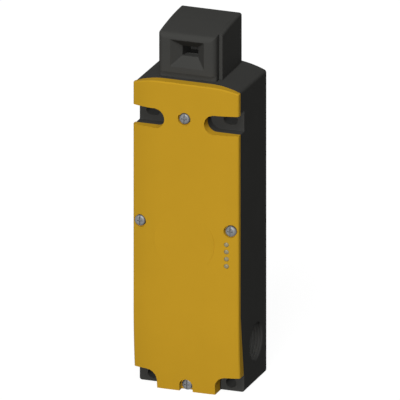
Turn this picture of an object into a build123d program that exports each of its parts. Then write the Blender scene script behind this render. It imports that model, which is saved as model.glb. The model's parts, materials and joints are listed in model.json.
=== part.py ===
from build123d import *
import os
from math import asin, cos, degrees, radians, sin, sqrt

# Tongue interlock switch with guard locking, in millimetres
# Origin at the middle of the footprint, +Z up, the yellow cover faces -Y

# How far a cut or an added piece reaches past the face it meets
overshoot = 1.0
bite = 0.5
touch = 0.05

# Overall sizes of the case
body_width = 54.0
body_depth = 43.6
body_top = 159.5
wall = 3.0
top_wall = 7.0
edge_round = 1.2
foot_round = 1.2
shoulder_round = 1.6
inner_round = 2.0

# Crown of the case, at the cover and at the back
front_flat = 12.0
front_crown_radius = 40.0
back_flat = 8.0
back_crown_radius = 47.0

# Joint line between case and cover, which runs back below the bend
cover_depth = 5.3
bend_z = 41.0
knee_z = 10.0
knee_back = 4.4
foot_back = 4.7

# Cover
cover_overhang = 0.3
cover_wall = 2.0
cover_rim = 3.4
cover_chamfer = 0.5
cover_flat = 10.5
cover_crown_radius = 51.8
cover_bend_radius = 301.0
pad_radius = 15.5
pad_z = 77.8
pocket_low_z = 12.0
gasket_width = 1.3
gasket_inset = 0.8
gasket_thickness = 0.8
joint_land = 2.4

# Fixing holes of the case and the cut-outs round them
land_depth = 11.3
fixing_radius = 2.65
upper_fixing_inset = 7.0
upper_fixing_slot = 7.3
upper_fixing_drop = 19.4
lower_fixing_inset = 6.8
lower_fixing_z = 4.1
upper_cut_radius = 5.0
upper_cut_inset = 11.7
cut_margin = 0.4
corner_cut_radius = 5.2
bar_wall = 2.2
bar_depth = 8.5
column_wall = 1.55

# Cable entries, metric 20 thread
entry_radius = 10.0
entry_wall = 2.5
entry_length = 9.0
entry_back = 16.0
side_entry_z = 20.4

# Cover screws
screw_radius = 1.5
screw_head_radius = 2.85
screw_head_height = 2.1
screw_length = 10.0
screw_clearance = 0.05
recess_radius = 3.3
recess_depth = 2.1
mid_recess_depth = 1.6
head_dome = 0.6
hole_spare = 0.5
top_screw_rise = 1.4
mid_screw_inset = 3.65
mid_screw_z = 85.8
foot_screw_z = 3.0
foot_seat_depth = 3.6
foot_notch_top = 6.3
boss_radius = 3.8
boss_depth = 7.5

# Light pipes, lamps and their board
pipe_inset = 5.6
pipe_z_low = 67.8
pipe_pitch = 3.7
pipe_count = 4
pipe_radius = 1.2
pipe_stand = 0.6
pipe_dome = 0.9
board_set = 1.0
board_thickness = 1.6
board_half = 2.9
lamp_size = 1.6
lamp_height = 0.9
pipe_gap = 0.3
board_post_radius = 0.9
board_shift = 1.0
board_post_shift = 2.8
board_post_step = 1.0
board_margin = 1.2

# Head, seen from the front as it stands at rest
head_height = 25.5
head_gap = 0.1
axis_back = 20.65
head_half_depth = 16.55
head_left = -16.1
head_split = 13.7
head_right = 15.4
hood_front_rise = 3.0
hood_step_rise = 11.1
head_step = 0.5
head_fall = 2.8
head_crown_radius = 170.0
head_round = 3.0
hood_edge_round = 1.2
hood_front = 6.5
hood_skirt = 2.0
hood_top_wall = 2.5
base_set = 1.5
base_round = 1.5
plate_front_set = 5.8
plate_round = 1.2

# Tongue slot and the funnel in front of it
slot_x = -0.85
slot_width = 8.1
slot_height = 5.2
slot_rise = 3.1
slot_round = 0.4
funnel_width = 17.5
funnel_height = 14.0
funnel_drop = 1.4
funnel_depth = 5.0
funnel_round = 0.4

# Collar that turns in the top of the case, its clip and its seal
collar_radius = 9.9
collar_play = 0.1
collar_flange_radius = 11.0
collar_flange = 2.0
collar_end = 3.0
clip_thickness = 1.2
clip_gap = 0.2
clip_inner_radius = 9.0
clip_outer_radius = 11.5
seal_inner = 11.3
seal_width = 1.4
seal_height = 1.0
seal_seat = 0.05

# Cam wheel
cam_rise = 7.4
cam_low_radius = 3.2
cam_angle = 70.0
cam_width = 7.6
cam_side_gap = 0.4
cam_rim_gap = 0.4
cam_front_angle = 50.0
notch_z = 2.8
notch_back_y = -0.4
notch_lean = 1.2
axle_radius = 1.5
axle_play = 0.05
axle_embed = 6.0
spiral_steps = 8

# Plunger
plunger_radius = 3.0
plunger_travel = 3.3
plunger_play = 0.1
tip_gap = 0.1
flange_radius = 5.2
flange_drop = 6.1
flange_thickness = 1.2
stem_radius = 2.0
stem_play = 0.15
stem_gap = 0.4
stem_rise = 8.4
spring_pin_radius = 1.2
bridge_rise = 11.0
bridge_thickness = 0.8
bridge_width = 5.6
contact_gap = 0.2

# Plunger guide
guide_thickness = 4.0
guide_inset = 3.4
guide_half_depth = 7.0
guide_sleeve_radius = 5.5
guide_sleeve = 9.0
rail_height = 3.4
rail_thickness = 1.8
rail_play = 0.15

# Contact blocks
block_half_depth = 7.0
block_wall = 1.6
position_gap = 4.5
position_drop = 8.4
position_height = 18.0
block_screw_inset = 3.6
lock_height = 14.0
lock_half = 8.0
lock_screw_step = 4.5
contact_width = 3.0
contact_thickness = 0.8
contact_tail = 2.4
stem_room_share = 0.2
bridge_overlap = 2.6
terminal_head_radius = 1.1
terminal_head_height = 1.2
terminal_shank_radius = 0.7
terminal_shank = 2.0

# Locking slide and the solenoid that moves it
solenoid_inset = 0.7
lock_travel = 3.0
slide_half_thickness = 2.0
slide_gap = 1.0
slide_reach = 5.7
slide_drop = 12.9
rail_inset = 0.2
rail_reach = 6.1
nose_gap = 0.2
nose_tip_gap = 1.1
nose_half_width = 3.4
nose_root = 0.8
pin_radius = 1.0
pin_rise = 2.4
slot_play = 0.1
fork_gap = 0.2
fork_cheek = 1.2
fork_half = 2.4
fork_drop = 7.6
fork_web = 2.0
fork_above_pin = 2.0
rod_radius = 1.4
rod_play = 0.15
rod_end = 0.5
coil_radius = 9.4
coil_low_z = 51.0
coil_gap = 1.0
winding_inset = 0.5
bobbin_flange = 1.5
bobbin_wall = 1.0
armature_radius = 4.0
armature_play = 0.1
armature_rise = 5.0
armature_drop = 15.0
air_gap = 3.4
return_bore_radius = 2.8
return_bore_depth = 3.0
frame_sheet = 2.0
frame_half = 9.8
frame_back_half = 7.0
frame_tab = 6.0
lock_bridge_rise = 6.4
lock_bridge_inset = 2.4
lock_contact_lap = 2.6

# Springs
spring_wire = 0.3
spring_seat = 0.05
plunger_spring_radius = 1.65
plunger_spring_turns = 4
armature_spring_radius = 2.1
armature_spring_turns = 4

# Terminal strip
strip_gap = 2.5
strip_half = 7.5
strip_low_z = 46.0
strip_pitch = 6.5
strip_count = 6
strip_depth = 11.0
strip_stand = 11.3
strip_ear = 4.4
strip_ear_half = 3.2
strip_ear_thickness = 3.0
strip_wall = 1.3
strip_rib = 1.6
pocket_half_z = 2.0
pocket_depth = 6.5
clamp_half_z = 1.6
clamp_thickness = 1.6
clamp_head_radius = 1.6
wire_hole_radius = 1.5
wire_hole_depth = 3.0

# Fasteners inside the case
small_screw_radius = 1.0
small_head_radius = 1.8
small_head_height = 1.2
small_screw_grip = 5.0
pedestal_half = 3.2
lock_pedestal_half = 2.4
pedestal_half_z = 2.2
guide_screw_grip = 3.6
guide_screw_inset = 3.0
slot_cut = 0.5
slot_cut_depth = 0.6

# Values that several pieces share
half_width = body_width / 2
back_y = body_depth / 2
cover_y = -body_depth / 2
parting_y = cover_y + cover_depth
land_y = cover_y + land_depth
cavity_half = half_width - wall
cavity_back_y = back_y - wall
cavity_top = body_top - top_wall
cover_half = half_width + cover_overhang
knee_y = parting_y + knee_back
foot_y = parting_y + foot_back
upper_fixing_x = half_width - upper_fixing_inset
upper_fixing_z = body_top - upper_fixing_drop
upper_cut_inner = half_width - upper_cut_inset
lower_fixing_x = half_width - lower_fixing_inset
entry_y = back_y - entry_back
top_screw_z = upper_fixing_z + top_screw_rise
mid_screw_x = half_width - mid_screw_inset
pipe_x = half_width - pipe_inset
pipe_zs = [pipe_z_low + i * pipe_pitch for i in range(pipe_count)]


def front_plane(y):
    """Plane that faces the cover side, at depth y."""
    return Plane.XZ.offset(-y)


def side_plane(x):
    """Plane that faces +X, at x."""
    return Plane.YZ.offset(x)


def level(z):
    """Horizontal plane at height z."""
    return Plane.XY.offset(z)


def crown_drop(radius, run):
    """Fall of a crown of this radius after a run from its flat."""
    return radius - sqrt(radius**2 - run**2)


def case_outline(half, flat, radius, top, bottom=0.0):
    """Front view of the case: straight sides and a crowned top."""
    edge_z = top - crown_drop(radius, half - flat)
    with BuildSketch() as outline:
        with BuildLine():
            Polyline((-half, edge_z), (-half, bottom), (half, bottom), (half, edge_z))
            TangentArc((flat, top), (half, edge_z), tangent=(1, 0))
            Line((flat, top), (-flat, top))
            TangentArc((-flat, top), (-half, edge_z), tangent=(-1, 0))
        make_face()
    return outline.sketch


def parting_profile(start_shift, end_y):
    """Side view of the joint line, moved by start_shift and closed at end_y."""
    above = body_top + wall
    below = -wall
    with BuildSketch() as profile:
        with BuildLine():
            Polyline(
                (parting_y + start_shift, above),
                (parting_y + start_shift, bend_z),
                (knee_y + start_shift, knee_z),
                (foot_y + start_shift, 0),
                (foot_y + start_shift, below),
                (end_y, below),
                (end_y, above),
                close=True,
            )
        make_face()
    return profile.sketch


def crowned_section(half, front, rear):
    """Plan view of the cover: a flat middle and sides that fall away."""
    radius = cover_crown_radius - (front - cover_y)
    side_y = front + crown_drop(radius, half - cover_flat)
    with BuildSketch() as section:
        with BuildLine():
            Polyline((half, side_y), (half, rear), (-half, rear), (-half, side_y))
            TangentArc((cover_flat, front), (half, side_y), tangent=(1, 0))
            Line((cover_flat, front), (-cover_flat, front))
            TangentArc((-cover_flat, front), (-half, side_y), tangent=(-1, 0))
        make_face()
    return section.sketch


def cover_front_y(x, z=body_top):
    """Depth of the cover's outer surface at x and z."""
    bend = crown_drop(cover_bend_radius, max(bend_z - z, 0))
    return cover_y + bend + crown_drop(cover_crown_radius, max(abs(x) - cover_flat, 0))


def on_cover_rim(point):
    """Whether a point lies on the outer edge of the cover's front."""
    top_z = body_top - crown_drop(front_crown_radius, max(abs(point.X) - front_flat, 0))
    on_outline = abs(abs(point.X) - cover_half) < touch or abs(point.Z - top_z) < touch
    return on_outline and abs(point.Y - cover_front_y(point.X, point.Z)) < touch


def upper_cut(radius):
    """Slot that opens to both sides of the case at the upper fixing holes."""
    reach = cover_half + wall - upper_cut_inner
    for side in (-1, 1):
        with Locations((side * upper_cut_inner, upper_fixing_z)):
            Circle(radius)
        with Locations((side * (upper_cut_inner + reach / 2), upper_fixing_z)):
            Rectangle(reach, 2 * radius)


def corner_cut():
    """Cut-out at both lower corners, round on its inner upper corner."""
    inner = lower_fixing_x - corner_cut_radius
    top = lower_fixing_z + corner_cut_radius
    outer = cover_half + wall
    with BuildSketch() as cut:
        with BuildLine():
            RadiusArc((inner, lower_fixing_z), (lower_fixing_x, top), corner_cut_radius)
            Polyline(
                (lower_fixing_x, top),
                (outer, top),
                (outer, -wall),
                (inner, -wall),
                (inner, lower_fixing_z),
            )
        make_face()
        mirror(about=Plane.YZ)
    return cut.sketch


def joint_ring():
    """Path of the gasket: inside the outline and round every cut-out."""
    hole = screw_radius + screw_clearance + cut_margin / 2
    foot_half = recess_radius + cut_margin / 2
    with BuildSketch() as region:
        add(case_outline(half_width, front_flat, front_crown_radius, body_top))
        with BuildSketch(mode=Mode.PRIVATE) as cuts:
            upper_cut(upper_cut_radius + cut_margin)
            add(corner_cut())
            for side in (-1, 1):
                with Locations((side * mid_screw_x, mid_screw_z)):
                    Circle(hole)
                with Locations((side * (mid_screw_x + boss_radius), mid_screw_z)):
                    Rectangle(2 * boss_radius, 2 * hole)
            with Locations((0, foot_notch_top - foot_half)):
                Circle(foot_half)
            with Locations((0, (foot_notch_top - foot_half - wall) / 2)):
                Rectangle(2 * foot_half, foot_notch_top - foot_half + wall)
        add(cuts.sketch, mode=Mode.SUBTRACT)
    with BuildSketch() as ring:
        add(region.sketch)
        offset(amount=-gasket_inset, mode=Mode.REPLACE)
        with BuildSketch(mode=Mode.PRIVATE) as inner:
            add(region.sketch)
            offset(amount=-gasket_inset - gasket_width, mode=Mode.REPLACE)
        add(inner.sketch, mode=Mode.SUBTRACT)
    return ring.sketch


def box_between(low, high, mode=Mode.ADD):
    """Box from its lowest to its highest corner."""
    sizes = [h - l for l, h in zip(low, high)]
    middle = [(h + l) / 2 for l, h in zip(low, high)]
    with Locations(tuple(middle)):
        Box(*sizes, mode=mode)


# Seat of each cover screw: x, z and the depth of the face under its head
cover_screw_seats = [
    (0, top_screw_z, cover_front_y(0) + recess_depth),
    (-mid_screw_x, mid_screw_z, cover_front_y(mid_screw_x) + mid_recess_depth),
    (mid_screw_x, mid_screw_z, cover_front_y(mid_screw_x) + mid_recess_depth),
    (0, foot_screw_z, cover_front_y(0, foot_screw_z) + foot_seat_depth),
]


# Places that the inner pieces share
axis_y = back_y - axis_back
head_low_z = body_top + head_gap
head_high_z = body_top + head_height
head_front_low_z = body_top + hood_front_rise
head_step_z = body_top + hood_step_rise
head_front_top_z = head_high_z - head_fall
hood_inner_top_z = head_front_top_z - hood_top_wall
cam_z = body_top + cam_rise
slot_z = cam_z + slot_rise + slot_height / 2
funnel_z = cam_z - funnel_drop + funnel_height / 2
head_front_y = axis_y - head_half_depth
head_back_y = axis_y + head_half_depth
cam_radius = cam_low_radius + plunger_travel
tip_z = cam_z - cam_low_radius - tip_gap
block_back_y = axis_y + block_half_depth
block_front_y = axis_y - block_half_depth
bar_low_z = upper_fixing_z - upper_cut_radius - cut_margin - bar_wall
bar_high_z = upper_fixing_z + upper_cut_radius + cut_margin + bar_wall
bar_back_y = parting_y + bar_depth
column_inner = upper_fixing_x - upper_fixing_slot / 2 - column_wall
guide_low_z = bar_low_z - guide_thickness
guide_half = cavity_half - guide_inset
flange_z = guide_low_z - flange_drop
flange_high_z = flange_z + flange_thickness
nose_low_z = flange_high_z - plunger_travel + nose_gap
nose_high_z = flange_z - nose_gap
slide_low_z = guide_low_z - slide_drop
pin_z = slide_low_z + pin_rise
fork_low_z = pin_z - fork_drop
position_high_z = flange_z - position_drop
position_low_z = position_high_z - position_height
stem_high_z = position_high_z + plunger_travel + stem_gap
stem_low_z = position_low_z + stem_rise
bridge_z = position_low_z + bridge_rise
lock_x = cavity_half - frame_half - solenoid_inset
slide_left_x = flange_radius + lock_travel + slide_gap
slide_right_x = lock_x + slide_reach
position_half = lock_x - position_gap
bridge_half = position_half - bridge_overlap
contact_tip_x = stem_radius + stem_room_share * position_half
lock_bridge_half = lock_half - lock_bridge_inset
frame_back_y = axis_y + frame_half
frame_low_z = coil_low_z - frame_sheet
frame_high_z = position_low_z - coil_gap
coil_high_z = frame_high_z - frame_sheet
lock_high_z = frame_low_z - coil_gap
lock_low_z = lock_high_z - lock_height
lock_bridge_z = lock_low_z + lock_bridge_rise
rod_low_z = lock_bridge_z - rod_end
armature_low_z = coil_low_z + armature_rise
armature_high_z = coil_high_z - armature_drop
strip_x = strip_half + strip_gap - cavity_half
strip_front_y = cavity_back_y - strip_stand - strip_depth
strip_high_z = strip_low_z + strip_pitch * strip_count
strip_back_y = strip_front_y + strip_depth
board_y = parting_y + board_set
board_x = pipe_x - board_shift
board_post_x = pipe_x - board_post_shift
board_post_zs = [pipe_zs[0] - board_post_step, pipe_zs[-1] + board_post_step]
guide_screw_x = column_inner + guide_screw_inset
lock_screw_z = lock_low_z + block_screw_inset
position_screw_zs = [position_low_z + block_screw_inset, position_high_z - block_screw_inset]
frame_screw_zs = [frame_low_z - frame_tab / 2, frame_high_z + frame_tab / 2]
strip_screw_zs = [strip_low_z - strip_ear / 2, strip_high_z + strip_ear / 2]

# Stands on the back wall: x, z, half width, half height and front face of each
pedestals = [(0, z, pedestal_half, pedestal_half_z, block_back_y) for z in position_screw_zs]
for x in (lock_x - lock_screw_step, lock_x + lock_screw_step):
    pedestals.append((x, lock_screw_z, lock_pedestal_half, pedestal_half_z, block_back_y))
for z in frame_screw_zs:
    pedestals.append((lock_x, z, pedestal_half, pedestal_half_z, frame_back_y + frame_sheet))
for z in strip_screw_zs:
    pedestals.append((strip_x, z, pedestal_half, pedestal_half_z, strip_back_y))

# Case: a moulded shell with fixing columns, screw bosses and cable entries
with BuildPart() as body_housing:
    with BuildSketch(front_plane(parting_y)):
        add(case_outline(half_width, front_flat, front_crown_radius, body_top))
    with BuildSketch(front_plane(back_y)):
        add(case_outline(half_width, back_flat, back_crown_radius, body_top))
    loft(ruled=True)
    for side in (0, -1):
        long_edges = body_housing.faces().sort_by(Axis.X)[side].edges().sort_by(Axis.Z)
        fillet(long_edges[0], foot_round)
        fillet(long_edges[-1], shoulder_round)
    back_edges = body_housing.edges().group_by(Axis.Y)[-1]
    fillet(back_edges, edge_round)
    with BuildSketch(Plane.YZ):
        add(parting_profile(0, back_y + wall))
    extrude(amount=body_width, both=True, mode=Mode.INTERSECT)
    with BuildSketch(front_plane(cavity_back_y)):
        with Locations((0, (wall + cavity_top) / 2)):
            RectangleRounded(2 * cavity_half, cavity_top - wall, inner_round)
    extrude(amount=body_depth, mode=Mode.SUBTRACT)
    # Bar behind the upper cut-outs, and a column round each fixing hole
    low = (-cavity_half - overshoot, parting_y, bar_low_z)
    box_between(low, (cavity_half + overshoot, bar_back_y, bar_high_z))
    for side in (-1, 1):
        xs = sorted((side * column_inner, side * (cavity_half + overshoot)))
        low = (xs[0], parting_y + overshoot, bar_low_z)
        box_between(low, (xs[1], cavity_back_y + overshoot, bar_high_z))
        corner_reach = corner_cut_radius + joint_land
        xs = sorted((side * (lower_fixing_x - corner_reach), side * (cavity_half + overshoot)))
        low = (xs[0], parting_y, overshoot)
        box_between(low, (xs[1], cavity_back_y + overshoot, lower_fixing_z + corner_reach))
    # Boss round each cable entry
    for side in (-1, 1):
        with BuildSketch(side_plane(side * (half_width - entry_length))):
            with Locations((entry_y, side_entry_z)):
                Circle(entry_radius + entry_wall)
        extrude(amount=side * (entry_length - overshoot))
    with BuildSketch(level(overshoot)):
        with Locations((0, entry_y)):
            Circle(entry_radius + entry_wall)
    extrude(amount=entry_length - overshoot)
    # Bosses for the cover screws
    for side in (-1, 1):
        with BuildSketch(front_plane(parting_y + boss_depth)):
            with Locations((side * mid_screw_x, mid_screw_z)):
                Circle(boss_radius)
        extrude(amount=boss_depth)
    foot_half = recess_radius + joint_land
    foot_high = (foot_half, foot_y + boss_depth, foot_notch_top + joint_land)
    box_between((-foot_half, parting_y, overshoot), foot_high)
    # Stands for the inner pieces
    for x, z, half, half_z, face_y in pedestals:
        high = (x + half, cavity_back_y + overshoot, z + half_z)
        box_between((x - half, face_y, z - half_z), high)
        with Locations(Plane(origin=(x, face_y, z), z_dir=(0, -1, 0))):
            Hole(small_screw_radius + screw_clearance, depth=small_screw_grip)
    # Trim what was added to the outline and to the joint line
    with BuildSketch(front_plane(back_y + overshoot)):
        add(case_outline(half_width, front_flat, front_crown_radius, body_top))
    extrude(amount=body_depth, mode=Mode.INTERSECT)
    with BuildSketch(Plane.YZ):
        add(parting_profile(0, back_y + wall))
    extrude(amount=body_width, both=True, mode=Mode.INTERSECT)
    # Cut-outs and holes for fixing
    with BuildSketch(front_plane(land_y)):
        upper_cut(upper_cut_radius + cut_margin)
        add(corner_cut())
    extrude(amount=body_depth, mode=Mode.SUBTRACT)
    with BuildSketch(front_plane(back_y + overshoot)):
        with Locations((-upper_fixing_x, upper_fixing_z), (upper_fixing_x, upper_fixing_z)):
            SlotOverall(upper_fixing_slot, 2 * fixing_radius)
        with Locations((-lower_fixing_x, lower_fixing_z), (lower_fixing_x, lower_fixing_z)):
            Circle(fixing_radius)
    extrude(amount=body_depth, mode=Mode.SUBTRACT)
    # Threaded entries and the hole that the head's collar turns in
    with BuildSketch(side_plane(-half_width - overshoot)):
        with Locations((entry_y, side_entry_z)):
            Circle(entry_radius)
    extrude(amount=entry_length + 2 * overshoot, mode=Mode.SUBTRACT)
    with BuildSketch(side_plane(half_width + overshoot)):
        with Locations((entry_y, side_entry_z)):
            Circle(entry_radius)
    extrude(amount=-entry_length - 2 * overshoot, mode=Mode.SUBTRACT)
    with BuildSketch(level(-overshoot)):
        with Locations((0, entry_y)):
            Circle(entry_radius)
    extrude(amount=entry_length + 2 * overshoot, mode=Mode.SUBTRACT)
    with BuildSketch(level(cavity_top - overshoot)):
        with Locations((0, axis_y)):
            Circle(collar_radius + collar_play)
    extrude(amount=top_wall + 2 * overshoot, mode=Mode.SUBTRACT)
    # Screw holes
    for x, z, seat_y in cover_screw_seats:
        with Locations(Plane(origin=(x, seat_y, z), z_dir=(0, -1, 0))):
            Hole(screw_radius + screw_clearance, depth=screw_length + hole_spare)
    for side in (-1, 1):
        with Locations(Plane(origin=(side * guide_screw_x, axis_y, bar_low_z), z_dir=(0, 0, -1))):
            Hole(small_screw_radius + screw_clearance, depth=guide_screw_grip)
body_housing.part.label = "body_housing"

# Gasket: a flat ring in a groove of the cover
with BuildPart() as cover_gasket:
    with BuildSketch(front_plane(land_y)):
        add(joint_ring())
    extrude(amount=body_depth)
    with BuildSketch(Plane.YZ):
        add(parting_profile(-gasket_thickness, back_y))
        add(parting_profile(0, back_y), mode=Mode.SUBTRACT)
    extrude(amount=body_width, both=True, mode=Mode.INTERSECT)
cover_gasket.part.label = "cover_gasket"

# Cover: a crowned lid with a rim, bent back below the bend
with BuildPart() as front_cover:
    bend_axis = Axis((0, cover_y + cover_bend_radius, bend_z), (1, 0, 0))
    with BuildSketch(level(bend_z)):
        add(crowned_section(cover_half, cover_y, land_y))
    extrude(amount=body_top - bend_z + wall)
    with BuildSketch(level(bend_z)):
        add(crowned_section(cover_half, cover_y, land_y))
    revolve(axis=bend_axis, revolution_arc=degrees(asin((bend_z + wall) / cover_bend_radius)))
    with BuildSketch(front_plane(cover_y + cover_wall)):
        with Locations((0, pad_z)):
            Circle(pad_radius)
    extrude(amount=cover_wall)
    with BuildSketch(front_plane(land_y)):
        add(case_outline(cover_half, front_flat, front_crown_radius, body_top))
    extrude(amount=body_depth, mode=Mode.INTERSECT)
    chamfer([edge for edge in front_cover.edges() if on_cover_rim(edge @ 0.5)], cover_chamfer)
    with BuildSketch(Plane.YZ):
        add(parting_profile(0, back_y))
    extrude(amount=body_width, both=True, mode=Mode.SUBTRACT)
    # Hollow behind the front
    inner_half = cover_half - cover_rim
    with BuildSketch(level(bend_z)):
        add(crowned_section(inner_half, cover_y + cover_wall, land_y))
    extrude(amount=bar_low_z - bend_z, mode=Mode.SUBTRACT)
    with BuildSketch(level(bend_z)):
        add(crowned_section(inner_half, cover_y + cover_wall, land_y))
    pocket_angle = degrees(asin((bend_z - pocket_low_z) / cover_bend_radius))
    revolve(axis=bend_axis, revolution_arc=pocket_angle, mode=Mode.SUBTRACT)
    # Bosses at the screws in the middle, and posts for the board
    for side in (-1, 1):
        xs = sorted((side * (mid_screw_x - boss_radius), side * (cover_half - overshoot)))
        low = (xs[0], cover_front_y(mid_screw_x) + cover_wall - bite, mid_screw_z - boss_radius)
        box_between(low, (xs[1], parting_y, mid_screw_z + boss_radius))
    with BuildSketch(front_plane(board_y)):
        for z in board_post_zs:
            with Locations((board_post_x, z)):
                Circle(board_post_radius)
    extrude(amount=board_y - cover_front_y(board_post_x) - cover_wall + bite)
    # Cut-outs at the fixing holes and the notch at the foot
    with BuildSketch(front_plane(land_y)):
        upper_cut(upper_cut_radius)
        add(corner_cut())
    extrude(amount=body_depth, mode=Mode.SUBTRACT)
    notch_half = recess_radius + cut_margin / 4
    with BuildSketch(front_plane(cover_screw_seats[-1][2])):
        with Locations((0, foot_notch_top - notch_half)):
            Circle(notch_half)
        with Locations((0, (foot_notch_top - notch_half - wall) / 2)):
            Rectangle(2 * notch_half, foot_notch_top - notch_half + wall)
    extrude(amount=body_depth, mode=Mode.SUBTRACT)
    # Screw recesses and holes, and the light pipes' holes
    for x, z, seat_y in cover_screw_seats:
        with Locations(Plane(origin=(x, seat_y, z), z_dir=(0, -1, 0))):
            Hole(screw_radius + screw_clearance)
    with BuildSketch(front_plane(cover_screw_seats[0][2])):
        with Locations((0, top_screw_z)):
            Circle(recess_radius)
    extrude(amount=body_depth, mode=Mode.SUBTRACT)
    with BuildSketch(front_plane(cover_screw_seats[1][2])):
        with Locations((-mid_screw_x, mid_screw_z), (mid_screw_x, mid_screw_z)):
            Circle(recess_radius)
    extrude(amount=body_depth, mode=Mode.SUBTRACT)
    with BuildSketch(front_plane(parting_y)):
        for z in pipe_zs:
            with Locations((pipe_x, z)):
                Circle(pipe_radius)
    extrude(amount=body_depth, mode=Mode.SUBTRACT)
    add(cover_gasket.part, mode=Mode.SUBTRACT)
front_cover.part.label = "front_cover"


def facing_front(x, y, z):
    """Plane at a point, facing the cover side."""
    return Plane(origin=(x, y, z), z_dir=(0, -1, 0))


def pan_screw(head_radius, head_height, shank_radius, length):
    """Pan head screw with its seat on the origin and its head along +Z."""
    with BuildPart() as screw:
        Cylinder(head_radius, head_height, align=(Align.CENTER, Align.CENTER, Align.MIN))
        fillet(screw.edges().group_by(Axis.Z)[-1], head_dome * head_height)
        with Locations((0, 0, head_height - slot_cut_depth / 2)):
            Box(2 * head_radius, slot_cut, slot_cut_depth, mode=Mode.SUBTRACT)
            Box(slot_cut, head_radius, slot_cut_depth, mode=Mode.SUBTRACT)
        Cylinder(shank_radius, length, align=(Align.CENTER, Align.CENTER, Align.MAX))
    return screw.part


small_screw = pan_screw(
    small_head_radius, small_head_height, small_screw_radius, small_screw_grip - cut_margin
)

with BuildPart() as cover_screws:
    for x, z, seat_y in cover_screw_seats:
        with Locations(facing_front(x, seat_y, z)):
            add(pan_screw(screw_head_radius, screw_head_height, screw_radius, screw_length))
cover_screws.part.label = "cover_screws"

# Light pipes with domed ends, and the lamps behind them on their board
pipe_front_y = cover_front_y(pipe_x) - pipe_stand
pipe_back_y = board_y - lamp_height - pipe_gap
with BuildPart() as light_pipes:
    with BuildSketch(front_plane(pipe_back_y)):
        for z in pipe_zs:
            with Locations((pipe_x, z)):
                Circle(pipe_radius)
    extrude(amount=pipe_back_y - pipe_front_y)
    fillet(light_pipes.edges().group_by(Axis.Y)[0], pipe_dome)
light_pipes.part.label = "light_pipes"

with BuildPart() as status_board:
    low = (board_x - board_half, board_y, board_post_zs[0] - board_margin)
    high = (board_x + board_half, board_y + board_thickness, board_post_zs[-1] + board_margin)
    box_between(low, high)
status_board.part.label = "status_board"

with BuildPart() as board_leds:
    for z in pipe_zs:
        with Locations((pipe_x, board_y - lamp_height / 2, z)):
            Box(lamp_size, lamp_height, lamp_size)
board_leds.part.label = "board_leds"

# Room that the cam wheel turns in, with the way in for the tongue
cam_room_radius = cam_radius + cam_rim_gap
cam_room_half = cam_width / 2 + cam_side_gap
with BuildPart() as cam_room:
    with BuildSketch(side_plane(slot_x - cam_room_half)):
        with Locations((axis_y, cam_z)):
            Circle(cam_room_radius)
    extrude(amount=2 * cam_room_half)
    way_half = slot_height / 2 + cam_side_gap
    low = (slot_x - cam_room_half, head_front_y, slot_z - way_half)
    box_between(low, (slot_x + cam_room_half, axis_y + cam_radius, slot_z + way_half))

# Lower part of the head, which carries the cam's axle
with BuildPart() as head_housing:
    low = (head_left, head_front_y + base_set, head_low_z)
    box_between(low, (head_split, head_back_y - head_step, head_front_low_z))
    fillet(head_housing.edges().filter_by(Axis.Z).sort_by(Axis.Y)[:2], base_round)
    low = (head_left, head_front_y + hood_front, head_front_low_z)
    box_between(low, (head_split, head_back_y - head_step, head_step_z))
    low = (head_left + hood_skirt, head_front_y + hood_front, head_step_z)
    box_between(low, (head_split - hood_skirt, head_back_y - hood_skirt, hood_inner_top_z))
    add(cam_room.part, mode=Mode.SUBTRACT)
    with Locations((slot_x - cam_room_half - axle_embed, axis_y, cam_z)):
        axle_length = 2 * (cam_room_half + axle_embed)
        align = (Align.CENTER, Align.CENTER, Align.MIN)
        Cylinder(axle_radius, axle_length, rotation=(0, 90, 0), align=align, mode=Mode.SUBTRACT)
    with BuildSketch(level(head_low_z)):
        with Locations((0, axis_y)):
            Circle(collar_flange_radius)
    extrude(amount=collar_flange, mode=Mode.SUBTRACT)
    with BuildSketch(level(head_low_z)):
        with Locations((0, axis_y)):
            Circle(seal_inner + seal_width)
            Circle(seal_inner, mode=Mode.SUBTRACT)
    extrude(amount=seal_height - head_gap + seal_seat, mode=Mode.SUBTRACT)
    with BuildSketch(level(head_low_z)):
        with Locations((0, axis_y)):
            Circle(plunger_radius + plunger_play)
    extrude(amount=cam_z - head_low_z, mode=Mode.SUBTRACT)
head_housing.part.label = "head_housing"


def hood_profile():
    """Side view of the hood: its top falls a little towards the front."""
    with BuildSketch() as profile:
        with BuildLine():
            RadiusArc(
                (head_front_y, head_front_top_z), (head_back_y, head_high_z), head_crown_radius
            )
            Polyline(
                (head_back_y, head_high_z),
                (head_back_y, head_step_z),
                (head_front_y + hood_front, head_step_z),
                (head_front_y + hood_front, head_front_low_z),
                (head_front_y, head_front_low_z),
                (head_front_y, head_front_top_z),
            )
        make_face()
    return profile.sketch


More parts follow.
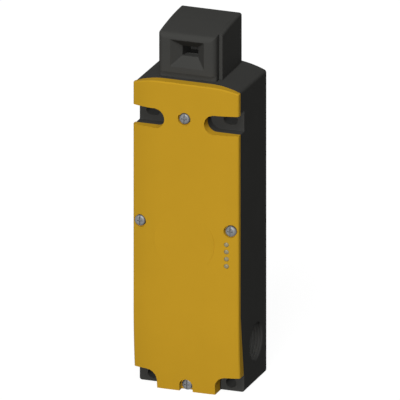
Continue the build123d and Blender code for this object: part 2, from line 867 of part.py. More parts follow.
# Hood: front and top of the head, with a funnel round the tongue slot
with BuildPart() as entry_hood:
    with BuildSketch(side_plane(head_left)):
        add(hood_profile())
    extrude(amount=head_split - head_left)
    front_edges = entry_hood.faces().sort_by(Axis.Y)[0].edges()
    upright = front_edges.filter_by(Axis.Z)
    fillet(upright + front_edges.filter_by(Axis.X).sort_by(Axis.Z)[-1:], head_round)
    left_edges = entry_hood.faces().sort_by(Axis.X)[0].edges()
    fillet(left_edges.sort_by(Axis.Z)[-1:], hood_edge_round)
    low = (head_left + hood_skirt, head_front_y + hood_front, head_front_low_z)
    high = (head_split - hood_skirt, head_back_y - hood_skirt, hood_inner_top_z)
    box_between(low, high, mode=Mode.SUBTRACT)
    with BuildSketch(front_plane(head_front_y)):
        with Locations((slot_x, funnel_z)):
            RectangleRounded(funnel_width, funnel_height, funnel_round)
    with BuildSketch(front_plane(head_front_y + funnel_depth)):
        with Locations((slot_x, slot_z)):
            RectangleRounded(slot_width, slot_height, slot_round)
    loft(mode=Mode.SUBTRACT)
    with BuildSketch(front_plane(head_front_y + hood_front)):
        with Locations((slot_x, slot_z)):
            RectangleRounded(slot_width, slot_height, slot_round)
    extrude(amount=hood_front, mode=Mode.SUBTRACT)
entry_hood.part.label = "entry_hood"

# Plate on the right side of the head
with BuildPart() as head_side_plate:
    with BuildSketch(side_plane(head_split)):
        with BuildLine():
            RadiusArc(
                (head_front_y, head_front_top_z),
                (head_back_y, head_high_z),
                head_crown_radius,
            )
            Polyline(
                (head_back_y, head_high_z),
                (head_back_y, head_low_z),
                (head_front_y, head_low_z),
                (head_front_y, head_front_top_z),
            )
        make_face()
    extrude(amount=head_right - head_split)
    low = (head_split - overshoot, head_front_y - overshoot, head_low_z - overshoot)
    high = (head_right + overshoot, head_front_y + plate_front_set, head_high_z + overshoot)
    box_between(low, high, mode=Mode.SUBTRACT)
    outer = head_side_plate.faces().sort_by(Axis.X)[-1]
    fillet(outer.edges().sort_by(Axis.Z)[-1:], plate_round)
head_side_plate.part.label = "head_side_plate"

# Collar under the head, the clip that keeps it in the case, and the seal round it
collar_low_z = cavity_top - collar_end
with BuildPart() as head_collar:
    with BuildSketch(level(collar_low_z)):
        with Locations((0, axis_y)):
            Circle(collar_radius)
    extrude(amount=head_low_z - collar_low_z)
    with BuildSketch(level(head_low_z)):
        with Locations((0, axis_y)):
            Circle(collar_flange_radius)
    extrude(amount=collar_flange)
    with BuildSketch(level(cavity_top - clip_gap - clip_thickness)):
        with Locations((0, axis_y)):
            Circle(collar_radius)
            Circle(clip_inner_radius, mode=Mode.SUBTRACT)
    extrude(amount=clip_thickness, mode=Mode.SUBTRACT)
    with BuildSketch(level(collar_low_z)):
        with Locations((0, axis_y)):
            Circle(plunger_radius + plunger_play)
    extrude(amount=cam_z - collar_low_z, mode=Mode.SUBTRACT)
    add(cam_room.part, mode=Mode.SUBTRACT)
head_collar.part.label = "head_collar"

with BuildPart() as collar_clip:
    with BuildSketch(level(cavity_top - clip_gap - clip_thickness)):
        with Locations((0, axis_y)):
            Circle(clip_outer_radius)
            Circle(clip_inner_radius, mode=Mode.SUBTRACT)
        with Locations((0, axis_y + clip_outer_radius)):
            Rectangle(clip_inner_radius, clip_outer_radius, mode=Mode.SUBTRACT)
    extrude(amount=clip_thickness)
collar_clip.part.label = "collar_clip"

with BuildPart() as head_seal:
    with BuildSketch(level(body_top + seal_seat)):
        with Locations((0, axis_y)):
            Circle(seal_inner + seal_width)
            Circle(seal_inner, mode=Mode.SUBTRACT)
    extrude(amount=seal_height)
head_seal.part.label = "head_seal"

with BuildPart() as cam_axle:
    with Locations((slot_x - cam_room_half - axle_embed, axis_y, cam_z)):
        align = (Align.CENTER, Align.CENTER, Align.MIN)
        Cylinder(axle_radius, axle_length, rotation=(0, 90, 0), align=align)
cam_axle.part.label = "cam_axle"

# Cam wheel: a notch takes the tongue, a spiral below pushes the plunger down
tip_reach = plunger_radius + tip_gap
rise = plunger_travel / radians(cam_angle)


def spiral_point(angle):
    """Point of the spiral that touches the round tip when the cam has turned by angle."""
    reach = cam_low_radius + tip_reach + rise * angle
    along_y = rise * sin(angle) + reach * cos(angle)
    along_z = -rise * cos(angle) + reach * sin(angle)
    length = sqrt(along_y**2 + along_z**2)
    y = reach * sin(angle) - tip_reach * along_z / length
    z = -reach * cos(angle) + tip_reach * along_y / length
    return (y, z)


spiral = [spiral_point(radians(cam_angle) * i / spiral_steps) for i in range(spiral_steps + 1)]
front_foot = (
    -cam_low_radius * sin(radians(cam_front_angle)),
    -cam_low_radius * cos(radians(cam_front_angle)),
)
with BuildPart() as cam_wheel:
    cam_side = Plane(origin=(slot_x - cam_width / 2, axis_y, cam_z), x_dir=(0, 1, 0), z_dir=(1, 0, 0))
    with BuildSketch(cam_side):
        Circle(cam_radius)
        with BuildLine():
            RadiusArc((0, -cam_low_radius), spiral[0], tip_reach)
            Spline(*spiral)
            Polyline(
                spiral[-1],
                (2 * cam_radius, -cam_low_radius),
                (2 * cam_radius, -2 * cam_radius),
                (2 * front_foot[0] * cam_radius / cam_low_radius, -2 * cam_radius),
                front_foot,
            )
            middle = radians(cam_front_angle / 2)
            bottom = (-cam_low_radius * sin(middle), -cam_low_radius * cos(middle))
            ThreePointArc(front_foot, bottom, (0, -cam_low_radius))
        make_face(mode=Mode.SUBTRACT)
        with BuildLine():
            Polyline(
                (-2 * cam_radius, notch_z),
                (notch_back_y, notch_z),
                (notch_back_y + notch_lean, 2 * cam_radius),
                (-2 * cam_radius, 2 * cam_radius),
                close=True,
            )
        make_face(mode=Mode.SUBTRACT)
        Circle(axle_radius + axle_play, mode=Mode.SUBTRACT)
    extrude(amount=cam_width)
cam_wheel.part.label = "cam_wheel"


def rod_between(radius, low_z, high_z, x=0.0, mode=Mode.ADD):
    """Upright cylinder on the head's turning axis, or beside it at x."""
    with Locations((x, axis_y, low_z)):
        align = (Align.CENTER, Align.CENTER, Align.MIN)
        Cylinder(radius, high_z - low_z, align=align, mode=mode)


# Plunger: round tip, flange for the locking slide, stem with the contact bridge
with BuildPart() as switching_plunger:
    rod_between(plunger_radius, stem_high_z, tip_z - plunger_radius)
    with Locations((0, axis_y, tip_z - plunger_radius)):
        Sphere(plunger_radius)
    rod_between(flange_radius, flange_z, flange_high_z)
    rod_between(stem_radius, stem_low_z, stem_high_z)
    pin_end_z = position_low_z + block_wall + plunger_travel + contact_gap
    rod_between(spring_pin_radius, pin_end_z, stem_low_z)
switching_plunger.part.label = "switching_plunger"

with BuildPart() as position_bridge:
    low = (-bridge_half, axis_y - bridge_width / 2, bridge_z)
    box_between(low, (bridge_half, axis_y + bridge_width / 2, bridge_z + bridge_thickness))
    rod_between(stem_radius, bridge_z, bridge_z + bridge_thickness, mode=Mode.SUBTRACT)
position_bridge.part.label = "position_bridge"

# Guide under the fixing columns: bore for the plunger, rails for the slide
with BuildPart() as plunger_guide:
    low = (-guide_half, axis_y - guide_half_depth, guide_low_z)
    box_between(low, (guide_half, axis_y + guide_half_depth, bar_low_z))
    rod_between(guide_sleeve_radius, guide_low_z, bar_low_z + guide_sleeve)
    rail_y = slide_half_thickness + rail_play
    for side in (-1, 1):
        ys = sorted((axis_y + side * rail_y, axis_y + side * (rail_y + rail_thickness)))
        low = (slide_left_x + rail_inset, ys[0], guide_low_z - rail_height)
        box_between(low, (lock_x + rail_reach, ys[1], guide_low_z))
    bore_high_z = bar_low_z + guide_sleeve
    rod_between(plunger_radius + plunger_play, guide_low_z, bore_high_z, mode=Mode.SUBTRACT)
    for side in (-1, 1):
        with Locations(Plane(origin=(side * guide_screw_x, axis_y, guide_low_z), z_dir=(0, 0, -1))):
            CounterBoreHole(
                small_screw_radius + screw_clearance,
                small_head_radius + screw_clearance,
                small_head_height + screw_clearance,
            )
plunger_guide.part.label = "plunger_guide"

with BuildPart() as guide_screws:
    seat_z = guide_low_z + small_head_height + screw_clearance
    for side in (-1, 1):
        with Locations(Plane(origin=(side * guide_screw_x, axis_y, seat_z), z_dir=(0, 0, -1))):
            add(small_screw)
guide_screws.part.label = "guide_screws"


def contact_casing(centre_x, half, low_z, high_z, hole_radius, screw_places):
    """Casing of a contact block, open at its front, with a hole in its top."""
    with BuildPart() as casing:
        box_between((centre_x - half, block_front_y, low_z), (centre_x + half, block_back_y, high_z))
        inner_low = (centre_x - half + block_wall, block_front_y - overshoot, low_z + block_wall)
        inner_high = (centre_x + half - block_wall, block_back_y - block_wall, high_z - block_wall)
        box_between(inner_low, inner_high, mode=Mode.SUBTRACT)
        rod_between(hole_radius, high_z - block_wall, high_z, centre_x, mode=Mode.SUBTRACT)
        for x, z in screw_places:
            with Locations(facing_front(x, block_back_y - block_wall, z)):
                Hole(small_screw_radius + screw_clearance)
    return casing.part


def contact_strips(centre_x, half, lap_x, low_zs):
    """Fixed contacts: strips that reach from inside the casing out to their terminals."""
    with BuildPart() as strips:
        for z in low_zs:
            for side in (-1, 1):
                xs = sorted((centre_x + side * lap_x, centre_x + side * (half + contact_tail)))
                low = (xs[0], axis_y - contact_width / 2, z)
                box_between(low, (xs[1], axis_y + contact_width / 2, z + contact_thickness))
                with Locations((centre_x + side * (half + contact_tail / 2), axis_y, z)):
                    Cylinder(terminal_shank_radius, 4 * contact_thickness, mode=Mode.SUBTRACT)
    return strips.part


def contact_screws(centre_x, half, low_zs):
    """Terminal screws on the contacts' outer ends."""
    screw = pan_screw(
        terminal_head_radius, terminal_head_height, terminal_shank_radius, terminal_shank
    )
    with BuildPart() as screws:
        for z in low_zs:
            for side in (-1, 1):
                x = centre_x + side * (half + contact_tail / 2)
                with Locations((x, axis_y, z + contact_thickness)):
                    add(screw)
    return screws.part


# Contact block that the plunger works
position_contact_zs = [
    bridge_z - plunger_travel - contact_gap - contact_thickness,
    bridge_z + bridge_thickness + contact_gap,
]
position_screw_places = [(0, z) for z in position_screw_zs]
with BuildPart() as position_contacts:
    add(contact_strips(0, position_half, contact_tip_x, position_contact_zs))
position_contacts.part.label = "position_contacts"

with BuildPart() as position_block:
    add(
        contact_casing(
            0, position_half, position_low_z, position_high_z,
            stem_radius + stem_play, position_screw_places,
        )
    )
    add(position_contacts.part, mode=Mode.SUBTRACT)
position_block.part.label = "position_block"

with BuildPart() as position_terminal_screws:
    add(contact_screws(0, position_half, position_contact_zs))
position_terminal_screws.part.label = "position_terminal_screws"

# Contact block that the solenoid's rod works
lock_contact_zs = [
    lock_bridge_z - contact_gap - contact_thickness,
    lock_bridge_z + bridge_thickness + lock_travel + contact_gap,
]
lock_screw_places = [(lock_x - lock_screw_step, lock_screw_z), (lock_x + lock_screw_step, lock_screw_z)]
with BuildPart() as lock_contacts:
    add(contact_strips(lock_x, lock_half, lock_bridge_half - lock_contact_lap, lock_contact_zs))
lock_contacts.part.label = "lock_contacts"

with BuildPart() as lock_block:
    add(
        contact_casing(
            lock_x, lock_half, lock_low_z, lock_high_z,
            rod_radius + rod_play, lock_screw_places,
        )
    )
    add(lock_contacts.part, mode=Mode.SUBTRACT)
lock_block.part.label = "lock_block"

with BuildPart() as lock_terminal_screws:
    add(contact_screws(lock_x, lock_half, lock_contact_zs))
lock_terminal_screws.part.label = "lock_terminal_screws"

with BuildPart() as block_screws:
    for x, z in position_screw_places + lock_screw_places:
        with Locations(facing_front(x, block_back_y - block_wall, z)):
            add(small_screw)
block_screws.part.label = "block_screws"

# Armature and its rod, with the contact bridge below and a fork above
armature_bore = armature_radius + armature_play
with BuildPart() as armature:
    rod_between(armature_radius, armature_low_z, armature_high_z, lock_x)
    rod_between(rod_radius, armature_low_z, armature_high_z, lock_x, mode=Mode.SUBTRACT)
armature.part.label = "armature"

with BuildPart() as lock_bridge:
    low = (lock_x - lock_bridge_half, axis_y - bridge_width / 2, lock_bridge_z)
    high = (lock_x + lock_bridge_half, axis_y + bridge_width / 2, lock_bridge_z + bridge_thickness)
    box_between(low, high)
    rod_between(rod_radius, lock_bridge_z, lock_bridge_z + bridge_thickness, lock_x, mode=Mode.SUBTRACT)
lock_bridge.part.label = "lock_bridge"

fork_inner = slide_half_thickness + fork_gap
fork_outer = fork_inner + fork_cheek
with BuildPart() as armature_rod:
    rod_between(rod_radius, rod_low_z, fork_low_z, lock_x)
    low = (lock_x - fork_half, axis_y - fork_outer, fork_low_z)
    box_between(low, (lock_x + fork_half, axis_y + fork_outer, pin_z + fork_above_pin))
    low = (lock_x - fork_half, axis_y - fork_inner, fork_low_z + fork_web)
    high = (lock_x + fork_half, axis_y + fork_inner, pin_z + fork_above_pin)
    box_between(low, high, mode=Mode.SUBTRACT)
    with Locations((lock_x, axis_y, pin_z)):
        Cylinder(pin_radius, 2 * fork_outer, rotation=(90, 0, 0), mode=Mode.SUBTRACT)
armature_rod.part.label = "armature_rod"

with BuildPart() as lock_pin:
    with Locations((lock_x, axis_y, pin_z)):
        Cylinder(pin_radius, 2 * fork_outer, rotation=(90, 0, 0))
lock_pin.part.label = "lock_pin"

# Locking slide: its slanted slot turns the rod's lift into a sideways stroke
with BuildPart() as locking_slide:
    low = (slide_left_x, axis_y - slide_half_thickness, slide_low_z)
    box_between(low, (slide_right_x, axis_y + slide_half_thickness, guide_low_z - rail_play))
    low = (flange_radius + nose_tip_gap, axis_y - nose_half_width, nose_low_z)
    box_between(low, (slide_left_x + nose_root, axis_y + nose_half_width, nose_high_z))
    with BuildSketch(front_plane(axis_y + slide_half_thickness)):
        with Locations((lock_x + lock_travel / 2, pin_z + lock_travel / 2)):
            slot_length = lock_travel * sqrt(2)
            SlotCenterToCenter(slot_length, 2 * (pin_radius + slot_play), rotation=45)
    extrude(amount=2 * slide_half_thickness, mode=Mode.SUBTRACT)
locking_slide.part.label = "locking_slide"

# Solenoid: bent steel frame, bobbin, winding and fixed core
core_low_z = armature_high_z + air_gap
with BuildPart() as solenoid_frame:
    low = (lock_x - frame_back_half, frame_back_y, frame_low_z - frame_tab)
    high = (lock_x + frame_back_half, frame_back_y + frame_sheet, frame_high_z + frame_tab)
    box_between(low, high)
    for z in (frame_low_z, coil_high_z):
        low = (lock_x - frame_half, axis_y - coil_radius, z)
        box_between(low, (lock_x + frame_half, frame_back_y + frame_sheet, z + frame_sheet))
    rod_between(armature_bore, coil_high_z, frame_high_z, lock_x, mode=Mode.SUBTRACT)
    rod_between(rod_radius + rod_play, frame_low_z, coil_low_z, lock_x, mode=Mode.SUBTRACT)
    for z in frame_screw_zs:
        with Locations(facing_front(lock_x, frame_back_y, z)):
            Hole(small_screw_radius + screw_clearance)
solenoid_frame.part.label = "solenoid_frame"

with BuildPart() as solenoid_screws:
    for z in frame_screw_zs:
        with Locations(facing_front(lock_x, frame_back_y, z)):
            add(small_screw)
solenoid_screws.part.label = "solenoid_screws"

bobbin_radius = armature_bore + bobbin_wall
with BuildPart() as solenoid_bobbin:
    rod_between(bobbin_radius, coil_low_z, coil_high_z, lock_x)
    rod_between(coil_radius, coil_low_z, coil_low_z + bobbin_flange, lock_x)
    rod_between(coil_radius, coil_high_z - bobbin_flange, coil_high_z, lock_x)
    rod_between(armature_bore, coil_low_z, coil_high_z, lock_x, mode=Mode.SUBTRACT)
solenoid_bobbin.part.label = "solenoid_bobbin"

with BuildPart() as solenoid_winding:
    low_z = coil_low_z + bobbin_flange
    high_z = coil_high_z - bobbin_flange
    rod_between(coil_radius - winding_inset, low_z, high_z, lock_x)
    rod_between(bobbin_radius, low_z, high_z, lock_x, mode=Mode.SUBTRACT)
solenoid_winding.part.label = "solenoid_winding"

with BuildPart() as solenoid_core:
    rod_between(armature_bore, core_low_z, frame_high_z, lock_x)
    rod_between(rod_radius + rod_play, core_low_z, frame_high_z, lock_x, mode=Mode.SUBTRACT)
    return_top = core_low_z + return_bore_depth
    rod_between(return_bore_radius, core_low_z, return_top, lock_x, mode=Mode.SUBTRACT)
solenoid_core.part.label = "solenoid_core"


def coil_spring(x, radius, low_z, high_z, turns):
    """Compression spring between two seats."""
    inset = spring_wire + spring_seat
    height = high_z - low_z - 2 * inset
    with BuildPart() as spring:
        with BuildLine():
            coil = Helix(height / turns, height, radius, center=(x, axis_y, low_z + inset))
        with BuildSketch(Plane(origin=coil @ 0, z_dir=coil % 0)):
            Circle(spring_wire)
        sweep(path=coil)
    return spring.part


with BuildPart() as plunger_spring:
    floor_z = position_low_z + block_wall
    add(coil_spring(0, plunger_spring_radius, floor_z, stem_low_z, plunger_spring_turns))
plunger_spring.part.label = "plunger_spring"

with BuildPart() as armature_spring:
    add(
        coil_spring(
            lock_x, armature_spring_radius, armature_high_z, return_top, armature_spring_turns
        )
    )
armature_spring.part.label = "armature_spring"

# Terminal strip: pockets with a clamp bar and two screws in each row
strip_rows = [strip_low_z + strip_pitch * (i + 0.5) for i in range(strip_count)]
pocket_outer = strip_half - strip_wall
pocket_floor_y = strip_front_y + pocket_depth
with BuildPart() as terminal_clamps:
    for z in strip_rows:
        low = (strip_x - pocket_outer, pocket_floor_y - clamp_thickness, z - clamp_half_z)
        box_between(low, (strip_x + pocket_outer, pocket_floor_y, z + clamp_half_z))
terminal_clamps.part.label = "terminal_clamps"

pocket_middle = (pocket_outer + strip_rib / 2) / 2
with BuildPart() as terminal_screws:
    for z in strip_rows:
        for side in (-1, 1):
            x = strip_x + side * pocket_middle
            with Locations(facing_front(x, pocket_floor_y - clamp_thickness, z)):
                align = (Align.CENTER, Align.CENTER, Align.MIN)
                Cylinder(clamp_head_radius, terminal_head_height, align=align)
                with Locations((0, 0, terminal_head_height - slot_cut_depth / 2)):
                    Box(2 * clamp_head_radius, slot_cut, slot_cut_depth, mode=Mode.SUBTRACT)
terminal_screws.part.label = "terminal_screws"

with BuildPart() as terminal_strip:
    low = (strip_x - strip_half, strip_front_y, strip_low_z)
    box_between(low, (strip_x + strip_half, strip_back_y, strip_high_z))
    low = (strip_x - strip_ear_half, strip_back_y - strip_ear_thickness, strip_low_z - strip_ear)
    box_between(low, (strip_x + strip_ear_half, strip_back_y, strip_high_z + strip_ear))
    for z in strip_rows:
        for side in (-1, 1):
            xs = sorted((strip_x + side * strip_rib / 2, strip_x + side * pocket_outer))
            low = (xs[0], strip_front_y - overshoot, z - pocket_half_z)
            box_between(low, (xs[1], pocket_floor_y, z + pocket_half_z), mode=Mode.SUBTRACT)
        with Locations((strip_x, strip_front_y + wire_hole_depth, z)):
            hole_length = 2 * (strip_half + overshoot)
            Cylinder(wire_hole_radius, hole_length, rotation=(0, 90, 0), mode=Mode.SUBTRACT)
    add(terminal_clamps.part, mode=Mode.SUBTRACT)
    for z in strip_screw_zs:
        with Locations(facing_front(strip_x, strip_back_y - strip_ear_thickness, z)):
            Hole(small_screw_radius + screw_clearance)
terminal_strip.part.label = "terminal_strip"

with BuildPart() as strip_screws:
    for z in strip_screw_zs:
        with Locations(facing_front(strip_x, strip_back_y - strip_ear_thickness, z)):
            add(small_screw)
strip_screws.part.label = "strip_screws"

pieces = [
    body_housing, front_cover, cover_gasket, cover_screws, light_pipes, status_board, board_leds,
    head_housing, entry_hood, head_side_plate, head_collar, collar_clip, head_seal, cam_axle,
    cam_wheel, switching_plunger, position_bridge, plunger_spring, plunger_guide, guide_screws,
    position_block, position_contacts, position_terminal_screws, lock_block, lock_contacts,
    lock_terminal_screws, block_screws, armature, armature_rod, lock_pin, lock_bridge,
    armature_spring, locking_slide, solenoid_frame, solenoid_screws, solenoid_bobbin,
    solenoid_winding, solenoid_core, terminal_strip, terminal_clamps, terminal_screws, strip_screws,
]
os.makedirs("parts", exist_ok=True)
for piece in pieces:
    export_step(piece.part, f"parts/{piece.part.label}.step")
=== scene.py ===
import json
import math

import bmesh
import bpy
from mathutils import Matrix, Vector


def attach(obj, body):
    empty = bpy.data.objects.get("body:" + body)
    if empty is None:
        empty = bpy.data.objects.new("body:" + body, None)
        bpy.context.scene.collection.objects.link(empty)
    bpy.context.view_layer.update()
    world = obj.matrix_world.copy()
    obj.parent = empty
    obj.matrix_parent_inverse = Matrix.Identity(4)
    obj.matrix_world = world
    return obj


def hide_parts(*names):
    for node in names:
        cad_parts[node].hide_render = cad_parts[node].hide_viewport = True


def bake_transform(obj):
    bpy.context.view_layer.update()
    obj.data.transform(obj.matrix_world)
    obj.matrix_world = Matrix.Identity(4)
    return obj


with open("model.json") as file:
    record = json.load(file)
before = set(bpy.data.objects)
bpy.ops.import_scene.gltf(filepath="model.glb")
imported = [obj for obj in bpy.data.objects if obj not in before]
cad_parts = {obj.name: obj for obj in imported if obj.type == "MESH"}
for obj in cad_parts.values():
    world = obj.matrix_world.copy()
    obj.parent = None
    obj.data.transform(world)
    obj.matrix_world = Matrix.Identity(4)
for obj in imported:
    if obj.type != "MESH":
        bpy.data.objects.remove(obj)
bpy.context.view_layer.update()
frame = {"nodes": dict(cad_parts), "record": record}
nodes = frame["nodes"]
record = frame["record"]
MM = 0.001

# Camera: a parallel view from the right and above, as in the photograph
VIEW_AZIMUTH = math.radians(20)
VIEW_ELEVATION = math.radians(20)
VIEW_CENTRE = Vector((0.0003, 0.0, 0.0924))
VIEW_WIDTH = 0.19425
VIEW_DISTANCE = 1.2

# Light: the photograph has next to no shadows, so the stronger lamp casts none
KEY_AZIMUTH = math.radians(12)
KEY_ELEVATION = math.radians(48)
KEY_STRENGTH = 1.1
KEY_SOFTNESS = math.radians(25)
FILL_AZIMUTH = math.radians(10)
FILL_ELEVATION = math.radians(33)
FILL_STRENGTH = 2.5
AMBIENT = 0.03

# Floor: plain, just under the part, and white where the camera sees it
FLOOR_HALF = 2.5
FLOOR_DROP = 0.1 * MM
FLOOR_COLOUR = (0.25, 0.25, 0.25, 1)
FLOOR_ROUGHNESS = 0.9
FLOOR_GLOW = 0.84

# Linear colours that look like the photograph's
CASE_BLACK = (0.047, 0.047, 0.0445)
HEAD_BLACK = (0.050, 0.050, 0.047)
COVER_YELLOW = (0.50, 0.285, 0.018)
SCREW_GREY = (0.205, 0.21, 0.215)
PIPE_CLEAR = (0.31, 0.27, 0.15)
# Painted shade: the cam wheel's steel is darkened to look as dark as the head, for the shade it sits
# in
CAM_WHEEL_PAINTED_SHADE = (0.045, 0.045, 0.043)

# Most values of a noise texture lie between these two
NOISE_LOW = 0.3
NOISE_HIGH = 0.7

# The solenoid's wire, and how many bands a wave texture has in one unit at scale 1
WIRE_PITCH = 0.4 * MM
WAVE_BANDS = 20

# Metric 20 thread in the cable entries: the shares of the pitch where its ridge rises and falls
THREAD_PITCH = 1.5 * MM
THREAD_DEPTH = 0.85 * MM
THREAD_FOOT = (0.04, 0.96)
THREAD_CREST = (0.42, 0.58)
THREAD_STEPS = 64
THREAD_EMBED = 0.03 * MM
THREAD_WELD = 0.002 * MM


def direction(azimuth, elevation):
    """Unit vector from the object towards a camera or lamp at these angles."""
    flat = math.cos(elevation)
    return Vector((math.sin(azimuth) * flat, -math.cos(azimuth) * flat, math.sin(elevation)))


def add_camera():
    data = bpy.data.cameras.new("camera")
    data.type = "ORTHO"
    data.ortho_scale = VIEW_WIDTH
    camera = bpy.data.objects.new("camera", data)
    back = direction(VIEW_AZIMUTH, VIEW_ELEVATION)
    camera.location = VIEW_CENTRE + back * VIEW_DISTANCE
    camera.rotation_euler = back.to_track_quat("Z", "Y").to_euler()
    bpy.context.scene.collection.objects.link(camera)
    bpy.context.scene.camera = camera


def add_sun(name, azimuth, elevation, strength, softness=0.0, shadow=True):
    data = bpy.data.lights.new(name, "SUN")
    data.energy = strength
    data.angle = softness
    data.use_shadow = shadow
    lamp = bpy.data.objects.new(name, data)
    lamp.rotation_euler = direction(azimuth, elevation).to_track_quat("Z", "Y").to_euler()
    bpy.context.scene.collection.objects.link(lamp)


def seen_directly(tree):
    """Node output that is 1 for rays that show the background, and 0 for light on the object."""
    path = tree.nodes.new("ShaderNodeLightPath")
    total = path.outputs["Is Camera Ray"]
    for name in ("Is Glossy Ray", "Is Transmission Ray"):
        add = tree.nodes.new("ShaderNodeMath")
        add.operation = "MAXIMUM"
        tree.links.new(total, add.inputs[0])
        tree.links.new(path.outputs[name], add.inputs[1])
        total = add.outputs[0]
    return total


def set_world():
    world = bpy.data.worlds.new("studio")
    bpy.context.scene.world = world
    world.use_nodes = True
    tree = world.node_tree
    background = tree.nodes["Background"]
    background.inputs["Color"].default_value = (1, 1, 1, 1)
    mix = tree.nodes.new("ShaderNodeMapRange")
    mix.inputs["To Min"].default_value = AMBIENT
    mix.inputs["To Max"].default_value = 1.0
    tree.links.new(seen_directly(tree), mix.inputs["Value"])
    tree.links.new(mix.outputs["Result"], background.inputs["Strength"])


def add_floor():
    mesh = bpy.data.meshes.new("floor")
    corners = [(-1, -1), (1, -1), (1, 1), (-1, 1)]
    plane = [(x * FLOOR_HALF, y * FLOOR_HALF, -FLOOR_DROP) for x, y in corners]
    mesh.from_pydata(plane, [], [(0, 1, 2, 3)])
    floor = bpy.data.objects.new("floor", mesh)
    bpy.context.scene.collection.objects.link(floor)
    material = bpy.data.materials.new("floor")
    material.use_nodes = True
    tree = material.node_tree
    shader = tree.nodes["Principled BSDF"]
    shader.inputs["Base Color"].default_value = FLOOR_COLOUR
    shader.inputs["Roughness"].default_value = FLOOR_ROUGHNESS
    shader.inputs["Specular IOR Level"].default_value = 0.0
    shader.inputs["Emission Color"].default_value = (1, 1, 1, 1)
    glow = tree.nodes.new("ShaderNodeMath")
    glow.operation = "MULTIPLY"
    glow.inputs[1].default_value = FLOOR_GLOW
    tree.links.new(seen_directly(tree), glow.inputs[0])
    tree.links.new(glow.outputs[0], shader.inputs["Emission Strength"])
    mesh.materials.append(material)


class Finish:
    """A material's node tree, with the few steps that the finishes here share."""

    def __init__(self, name):
        self.material = bpy.data.materials.new(name)
        self.material.use_nodes = True
        self.tree = self.material.node_tree
        self.shader = self.tree.nodes["Principled BSDF"]
        self.place = self.tree.nodes.new("ShaderNodeTexCoord").outputs["Object"]

    def set(self, **values):
        for name, value in values.items():
            self.shader.inputs[name.replace("_", " ")].default_value = value

    def link(self, source, target):
        self.tree.links.new(source, target)

    def noise(self, size, detail, roughness=0.5):
        """Noise whose blobs are about size metres across."""
        noise = self.tree.nodes.new("ShaderNodeTexNoise")
        noise.inputs["Scale"].default_value = 1 / size
        noise.inputs["Detail"].default_value = detail
        noise.inputs["Roughness"].default_value = roughness
        self.link(self.place, noise.inputs["Vector"])
        return noise.outputs["Fac"]

    def vary_roughness(self, source, low, high):
        """Roughness that runs from low to high with source."""
        node = self.tree.nodes.new("ShaderNodeMapRange")
        ends = {"From Min": NOISE_LOW, "From Max": NOISE_HIGH, "To Min": low, "To Max": high}
        for name, value in ends.items():
            node.inputs[name].default_value = value
        self.link(source, node.inputs["Value"])
        self.link(node.outputs["Result"], self.shader.inputs["Roughness"])

    def vary_colour(self, source, colour, amount):
        """Base colour that runs a little darker and lighter with source."""
        ramp = self.tree.nodes.new("ShaderNodeValToRGB")
        ramp.color_ramp.elements[0].position = NOISE_LOW
        ramp.color_ramp.elements[1].position = NOISE_HIGH
        for element, factor in zip(ramp.color_ramp.elements, (1 - amount, 1 + amount)):
            element.color = [min(c * factor, 1) for c in colour[:3]] + [1]
        self.link(source, ramp.inputs["Fac"])
        self.link(ramp.outputs["Color"], self.shader.inputs["Base Color"])

    def relief(self, source, height, edge=0.0):
        """Bump of this height in metres, over edges rounded by edge metres."""
        bump = self.tree.nodes.new("ShaderNodeBump")
        bump.inputs["Strength"].default_value = 1.0
        bump.inputs["Distance"].default_value = height
        self.link(source, bump.inputs["Height"])
        if edge:
            bevel = self.tree.nodes.new("ShaderNodeBevel")
            bevel.inputs["Radius"].default_value = edge
            self.link(bevel.outputs["Normal"], bump.inputs["Normal"])
        self.link(bump.outputs["Normal"], self.shader.inputs["Normal"])


def moulded(
    name, colour, roughness, specular,
    grain=0.35 * MM, height=0.012 * MM, edge=0.25 * MM, clouding=0.03,
):
    """Moulded plastic: fine grain, faint clouds of gloss and colour."""
    finish = Finish(name)
    finish.set(Specular_IOR_Level=specular)
    clouds = finish.noise(14 * MM, detail=3)
    fine = finish.noise(grain, detail=3, roughness=0.6)
    finish.vary_colour(clouds, colour, clouding)
    finish.vary_roughness(clouds, roughness - 0.05, roughness + 0.05)
    finish.relief(fine, height, edge)
    return finish.material


def metal(name, colour, roughness):
    """Plain machined or stamped metal with fine tool marks."""
    finish = Finish(name)
    finish.set(Metallic=1.0)
    marks = finish.noise(0.25 * MM, detail=3)
    clouds = finish.noise(3 * MM, detail=2)
    finish.vary_colour(clouds, colour, 0.12)
    finish.vary_roughness(marks, roughness - 0.08, roughness + 0.1)
    finish.relief(marks, 0.008 * MM, 0.12 * MM)
    return finish.material


def wound(name, colour):
    """Enamelled wire, wound in level turns round an upright bobbin."""
    finish = Finish(name)
    finish.set(Metallic=0.8, Roughness=0.35)
    wave = finish.tree.nodes.new("ShaderNodeTexWave")
    wave.bands_direction = "Z"
    wave.inputs["Scale"].default_value = 1 / (WAVE_BANDS * WIRE_PITCH)
    wave.inputs["Distortion"].default_value = 0.4
    finish.link(finish.place, wave.inputs["Vector"])
    finish.vary_colour(wave.outputs["Fac"], colour, 0.35)
    finish.relief(wave.outputs["Fac"], 0.1 * MM)
    return finish.material


def clear(name, colour):
    """Clear moulded dome, milky inside, as a light pipe looks with its lamp off."""
    finish = Finish(name)
    clouds = finish.noise(0.5 * MM, detail=2)
    finish.vary_colour(clouds, colour, 0.08)
    finish.set(Transmission_Weight=0.25, IOR=1.49, Roughness=0.12)
    finish.relief(clouds, 0.01 * MM, 0.15 * MM)
    return finish.material


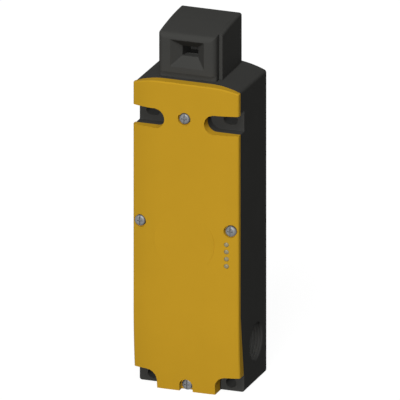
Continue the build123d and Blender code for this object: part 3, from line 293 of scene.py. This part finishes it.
def make_finishes():
    """One material for each of the record's slots."""
    colours = {row["slot"]: row["base_color"] for row in record["materials"]}
    return {
        "case_plastic": moulded("case_plastic", CASE_BLACK, 0.8, 0.01),
        "head_plastic": moulded("head_plastic", HEAD_BLACK, 0.75, 0.01),
        "cover_plastic": moulded(
            "cover_plastic", COVER_YELLOW, 0.6, 0.02,
            height=0.006 * MM, edge=0.1 * MM, clouding=0.012,
        ),
        "inner_plastic": moulded("inner_plastic", colours["inner_plastic"], 0.5, 0.3),
        "block_plastic": moulded("block_plastic", colours["block_plastic"], 0.5, 0.3),
        "gasket_rubber": moulded("gasket_rubber", colours["gasket_rubber"], 0.7, 0.2, grain=0.2 * MM),
        "board_green": moulded("board_green", colours["board_green"], 0.35, 0.5, grain=0.8 * MM),
        "lamp": moulded("lamp", colours["lamp"], 0.3, 0.5),
        "screw_steel": metal("screw_steel", SCREW_GREY, 0.62),
        "steel": metal("steel", colours["steel"], 0.38),
        "spring_steel": metal("spring_steel", colours["spring_steel"], 0.3),
        "contact_metal": metal("contact_metal", colours["contact_metal"], 0.34),
        "copper_wire": wound("copper_wire", colours["copper_wire"]),
        "clear_pipe": clear("clear_pipe", PIPE_CLEAR),
    }


def dress_nodes(finishes):
    """Each CAD node takes the finish of its own slot, and the cam wheel's steel is darkened as
    painted shade.
    """
    for row in record["subparts"]:
        mesh = nodes[row["node"]].data
        mesh.materials.clear()
        mesh.materials.append(finishes[row["material_slot"]])
    # The cam wheel's darker steel is painted shade, for the shade inside the slot
    nodes["cam_wheel"].data.materials[0] = metal("steel_with_painted_shade", CAM_WHEEL_PAINTED_SHADE, 0.6)


def thread_ridge(name, radius, length, origin, axis, material):
    """Closed helical ridge inside a bore that starts at origin and runs in along -axis."""
    side = axis.orthogonal().normalized()
    up = axis.cross(side)
    turns = length / THREAD_PITCH + 1
    count = int(THREAD_STEPS * turns)
    section = [
        (THREAD_FOOT[0], -THREAD_EMBED),
        (THREAD_CREST[0], THREAD_DEPTH),
        (THREAD_CREST[1], THREAD_DEPTH),
        (THREAD_FOOT[1], -THREAD_EMBED),
    ]
    mesh = bmesh.new()
    rings = []
    for step in range(count + 1):
        angle = 2 * math.pi * step / THREAD_STEPS
        out = side * math.cos(angle) + up * math.sin(angle)
        start = THREAD_PITCH * (step / THREAD_STEPS - 1)
        ring = []
        for share, rise in section:
            depth = min(max(start + share * THREAD_PITCH, 0.0), length)
            ring.append(mesh.verts.new(origin - axis * depth + out * (radius - rise)))
        rings.append(ring)
    for near, far in zip(rings, rings[1:]):
        for i in range(len(section)):
            j = (i + 1) % len(section)
            mesh.faces.new((near[i], far[i], far[j], near[j]))
    mesh.faces.new(rings[0])
    mesh.faces.new(reversed(rings[-1]))
    bmesh.ops.remove_doubles(mesh, verts=mesh.verts, dist=THREAD_WELD)
    bmesh.ops.dissolve_degenerate(mesh, edges=mesh.edges, dist=THREAD_WELD)
    bmesh.ops.recalc_face_normals(mesh, faces=mesh.faces)
    data = bpy.data.meshes.new(name)
    mesh.to_mesh(data)
    mesh.free()
    data.materials.append(material)
    piece = bpy.data.objects.new(name, data)
    bpy.context.scene.collection.objects.link(piece)
    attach(piece, "housing")


def add_threads(material):
    """Thread in each cable entry, from the record's mounts."""
    for mount in record["mounts"]:
        if mount["kind"] == "threaded_hole":
            radius = mount["dims"]["r_mm"] * MM
            length = mount["dims"]["length_mm"] * MM
            axis = Vector(mount["axis"])
            mouth = Vector(mount["pos_m"]) + axis * length / 2
            name = mount["name"].replace("cable_entry", "thread")
            thread_ridge(name, radius, length, mouth, axis, material)


def shorten_springs():
    """Each spring as a copy of its mesh in a piece of its own, with the CAD spring hidden."""
    for joint in record["behaviour"]["joints"]:
        for row in joint.get("deforming_nodes", []):
            spring = nodes[row["node"]]
            piece = bpy.data.objects.new(row["node"] + "_coil", spring.data.copy())
            bpy.context.scene.collection.objects.link(piece)
            piece.matrix_world = spring.matrix_world
            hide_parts(row["node"])
            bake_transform(piece)


bpy.context.scene.view_settings.view_transform = "Standard"
add_camera()
add_sun("key", KEY_AZIMUTH, KEY_ELEVATION, KEY_STRENGTH, KEY_SOFTNESS)
add_sun("fill", FILL_AZIMUTH, FILL_ELEVATION, FILL_STRENGTH, shadow=False)
set_world()
add_floor()
finishes = make_finishes()
dress_nodes(finishes)
add_threads(finishes["case_plastic"])
shorten_springs()
